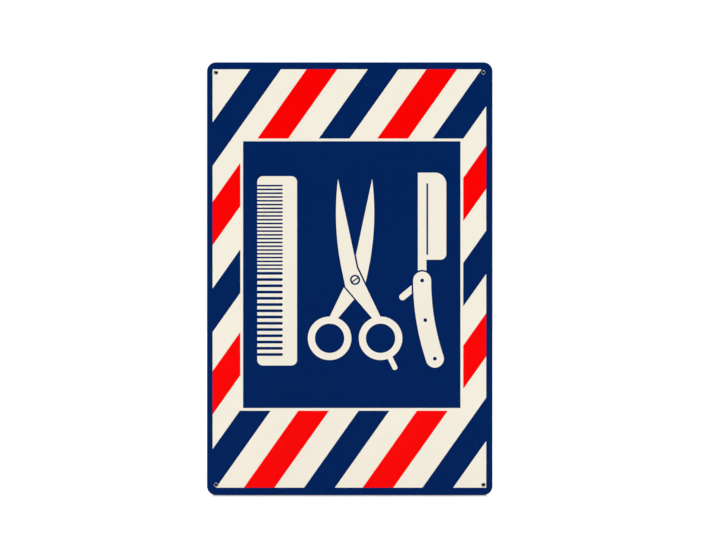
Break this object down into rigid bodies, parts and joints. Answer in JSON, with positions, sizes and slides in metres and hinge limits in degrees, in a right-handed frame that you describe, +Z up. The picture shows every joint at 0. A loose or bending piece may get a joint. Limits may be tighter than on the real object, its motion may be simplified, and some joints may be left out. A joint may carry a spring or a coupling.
{
  "type": "barber shop sign",
  "caption": "Flat upright steel wall sign with round corners: leaning blue and red stripes frame a dark panel with a comb, scissors and a razor, hung by corner eyelets.",
  "frame": {"origin": "centre of the four eyelets, on the plane of the wall, where the eyelets' rolled ends rest against it", "axes": "+X to the right across the sign as seen from the front, +Z up it, and +Y back into the wall; the printed front faces -Y"},
  "size_m": [0.3016, 0.0019, 0.4572],
  "materials": {
    "steel": "bare cut edge of cold rolled steel sheet",
    "back_paint": "thin pale grey baked paint, satin",
    "cream_paint": "baked cream paint, semi-gloss",
    "blue_ink": "screen-printed navy ink, semi-gloss",
    "red_ink": "screen-printed bright red ink, semi-gloss",
    "eyelet_metal": "plain drawn metal, slightly bright",
    "emblem_ink": "screen-printed cream ink, semi-gloss"
  },
  "bodies": {
    "root": {"steel_sheet": "steel", "back_coat": "back_paint", "cream_coat": "cream_paint", "blue_border": "blue_ink", "blue_panel": "blue_ink", "blue_stripe_1": "blue_ink", "red_stripe_1": "red_ink", "blue_stripe_2": "blue_ink", "red_stripe_2": "red_ink", "blue_stripe_3": "blue_ink", "red_stripe_3": "red_ink", "blue_stripe_4": "blue_ink", "red_stripe_4": "red_ink", "blue_stripe_5": "blue_ink", "eyelet_top_left": "eyelet_metal", "eyelet_top_right": "eyelet_metal", "eyelet_bottom_left": "eyelet_metal", "eyelet_bottom_right": "eyelet_metal", "emblem_comb": "emblem_ink", "emblem_scissors_front": "emblem_ink", "emblem_scissors_rear": "emblem_ink", "emblem_scissors_screw": "emblem_ink", "emblem_razor_blade": "emblem_ink", "emblem_razor_handle": "emblem_ink"}
  },
  "joints": []
}
